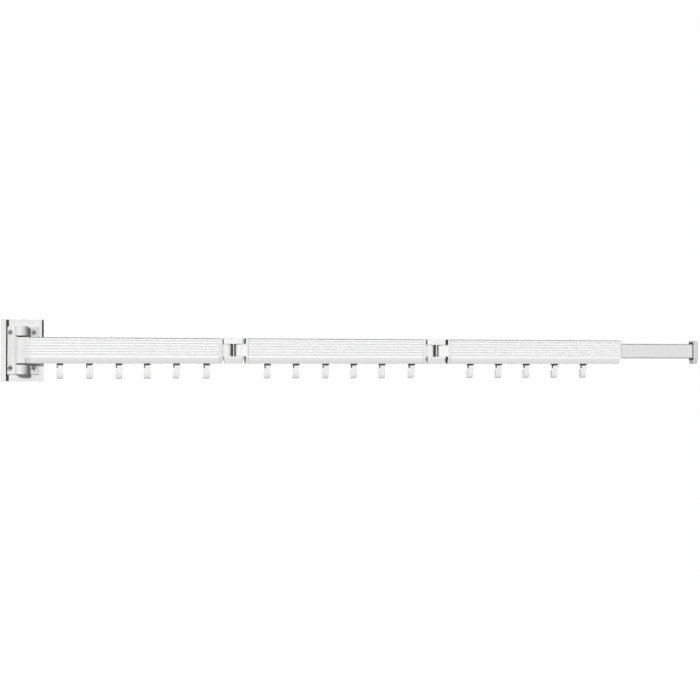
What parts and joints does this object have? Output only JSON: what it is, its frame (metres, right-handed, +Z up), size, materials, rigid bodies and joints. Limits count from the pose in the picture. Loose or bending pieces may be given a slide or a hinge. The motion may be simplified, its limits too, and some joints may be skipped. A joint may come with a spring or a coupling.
{
  "type": "folding wall rail",
  "caption": "Wall-mounted folding arm of ribbed rails on hinge links, with a telescopic flat rod at its end and small hooks that slide along the rails' bottom slots.",
  "frame": {"origin": "middle of the wall plate's back face, level with the rails' mid height", "axes": "+X along the arm at rest, +Y into the wall, +Z up"},
  "size_m": [1.1054, 0.03, 0.09],
  "materials": {
    "silver_aluminium": "satin silver-white anodised extrusion",
    "cast_fittings": "satin silver-white paint on cast zinc",
    "steel": "bright zinc plate",
    "hook_strip": "satin silver-white strip",
    "black_nylon": "moulded, matte",
    "grey_plastic": "moulded, satin"
  },
  "bodies": {
    "wall": {"wall_plate": "silver_aluminium", "hinge_bracket": "cast_fittings", "wall_screw_1": "steel", "wall_screw_2": "steel", "wall_screw_3": "steel", "wall_screw_4": "steel", "pivot_pin": "steel"},
    "arm_1": {"root_barrel": "cast_fittings", "pivot_bush": "black_nylon", "rail_1": "silver_aluminium", "tongue_1_tip": "cast_fittings"},
    "link_1": {"hinge_link_1": "cast_fittings", "link_1_pin_a": "steel", "link_1_pin_b": "steel"},
    "arm_2": {"tongue_2_root": "cast_fittings", "rail_2": "silver_aluminium", "tongue_2_tip": "cast_fittings"},
    "link_2": {"hinge_link_2": "cast_fittings", "link_2_pin_a": "steel", "link_2_pin_b": "steel"},
    "arm_3": {"tongue_3_root": "cast_fittings", "rail_3": "silver_aluminium", "rod_bushing": "grey_plastic"},
    "rod": {"extension_rod": "silver_aluminium", "rod_shoe": "black_nylon", "rod_end_cap": "grey_plastic"},
    "hook_slider_01": {"hook_01": "hook_strip", "glider_01": "black_nylon"},
    "hook_slider_02": {"hook_02": "hook_strip", "glider_02": "black_nylon"},
    "hook_slider_03": {"hook_03": "hook_strip", "glider_03": "black_nylon"},
    "hook_slider_04": {"hook_04": "hook_strip", "glider_04": "black_nylon"},
    "hook_slider_05": {"hook_05": "hook_strip", "glider_05": "black_nylon"},
    "hook_slider_06": {"hook_06": "hook_strip", "glider_06": "black_nylon"},
    "hook_slider_07": {"hook_07": "hook_strip", "glider_07": "black_nylon"},
    "hook_slider_08": {"hook_08": "hook_strip", "glider_08": "black_nylon"},
    "hook_slider_09": {"hook_09": "hook_strip", "glider_09": "black_nylon"},
    "hook_slider_10": {"hook_10": "hook_strip", "glider_10": "black_nylon"},
    "hook_slider_11": {"hook_11": "hook_strip", "glider_11": "black_nylon"},
    "hook_slider_12": {"hook_12": "hook_strip", "glider_12": "black_nylon"},
    "hook_slider_13": {"hook_13": "hook_strip", "glider_13": "black_nylon"},
    "hook_slider_14": {"hook_14": "hook_strip", "glider_14": "black_nylon"},
    "hook_slider_15": {"hook_15": "hook_strip", "glider_15": "black_nylon"},
    "hook_slider_16": {"hook_16": "hook_strip", "glider_16": "black_nylon"},
    "hook_slider_17": {"hook_17": "hook_strip", "glider_17": "black_nylon"}
  },
  "joints": [
    {"name": "base_swing", "type": "hinge", "parent": "wall", "child": "arm_1", "pos_m": [-0.0011, -0.021, 0], "axis": [0, 0, 1], "range_deg": [-180, 0]},
    {"name": "link_1_fold_a", "type": "hinge", "parent": "arm_1", "child": "link_1", "pos_m": [0.29782, -0.021, 0], "axis": [0, 0, -1], "range_deg": [0, 90]},
    {"name": "link_1_fold_b", "type": "hinge", "parent": "link_1", "child": "arm_2", "pos_m": [0.31532, -0.021, 0], "axis": [0, 0, -1], "range_deg": [0, 90]},
    {"name": "link_2_fold_a", "type": "hinge", "parent": "arm_2", "child": "link_2", "pos_m": [0.61635, -0.021, 0], "axis": [0, 0, 1], "range_deg": [0, 90]},
    {"name": "link_2_fold_b", "type": "hinge", "parent": "link_2", "child": "arm_3", "pos_m": [0.63385, -0.021, 0], "axis": [0, 0, 1], "range_deg": [0, 90]},
    {"name": "rod_slide", "type": "slide", "parent": "arm_3", "child": "rod", "axis": [1, 0, 0], "range_m": [-0.126, 0.095]},
    {"name": "hook_slide_01", "type": "slide", "parent": "arm_1", "child": "hook_slider_01", "axis": [1, 0, 0], "range_m": [-0.0355, 0.015]},
    {"name": "hook_slide_02", "type": "slide", "parent": "arm_1", "child": "hook_slider_02", "axis": [1, 0, 0], "range_m": [-0.015, 0.015]},
    {"name": "hook_slide_03", "type": "slide", "parent": "arm_1", "child": "hook_slider_03", "axis": [1, 0, 0], "range_m": [-0.015, 0.015]},
    {"name": "hook_slide_04", "type": "slide", "parent": "arm_1", "child": "hook_slider_04", "axis": [1, 0, 0], "range_m": [-0.015, 0.015]},
    {"name": "hook_slide_05", "type": "slide", "parent": "arm_1", "child": "hook_slider_05", "axis": [1, 0, 0], "range_m": [-0.015, 0.015]},
    {"name": "hook_slide_06", "type": "slide", "parent": "arm_1", "child": "hook_slider_06", "axis": [1, 0, 0], "range_m": [-0.015, 0.011]},
    {"name": "hook_slide_07", "type": "slide", "parent": "arm_2", "child": "hook_slider_07", "axis": [1, 0, 0], "range_m": [-0.022, 0.015]},
    {"name": "hook_slide_08", "type": "slide", "parent": "arm_2", "child": "hook_slider_08", "axis": [1, 0, 0], "range_m": [-0.015, 0.015]},
    {"name": "hook_slide_09", "type": "slide", "parent": "arm_2", "child": "hook_slider_09", "axis": [1, 0, 0], "range_m": [-0.015, 0.015]},
    {"name": "hook_slide_10", "type": "slide", "parent": "arm_2", "child": "hook_slider_10", "axis": [1, 0, 0], "range_m": [-0.015, 0.015]},
    {"name": "hook_slide_11", "type": "slide", "parent": "arm_2", "child": "hook_slider_11", "axis": [1, 0, 0], "range_m": [-0.015, 0.015]},
    {"name": "hook_slide_12", "type": "slide", "parent": "arm_2", "child": "hook_slider_12", "axis": [1, 0, 0], "range_m": [-0.015, 0.011]},
    {"name": "hook_slide_13", "type": "slide", "parent": "arm_3", "child": "hook_slider_13", "axis": [1, 0, 0], "range_m": [-0.028, 0.015]},
    {"name": "hook_slide_14", "type": "slide", "parent": "arm_3", "child": "hook_slider_14", "axis": [1, 0, 0], "range_m": [-0.015, 0.015]},
    {"name": "hook_slide_15", "type": "slide", "parent": "arm_3", "child": "hook_slider_15", "axis": [1, 0, 0], "range_m": [-0.015, 0.015]},
    {"name": "hook_slide_16", "type": "slide", "parent": "arm_3", "child": "hook_slider_16", "axis": [1, 0, 0], "range_m": [-0.015, 0.015]},
    {"name": "hook_slide_17", "type": "slide", "parent": "arm_3", "child": "hook_slider_17", "axis": [1, 0, 0], "range_m": [-0.015, 0.053]}
  ]
}
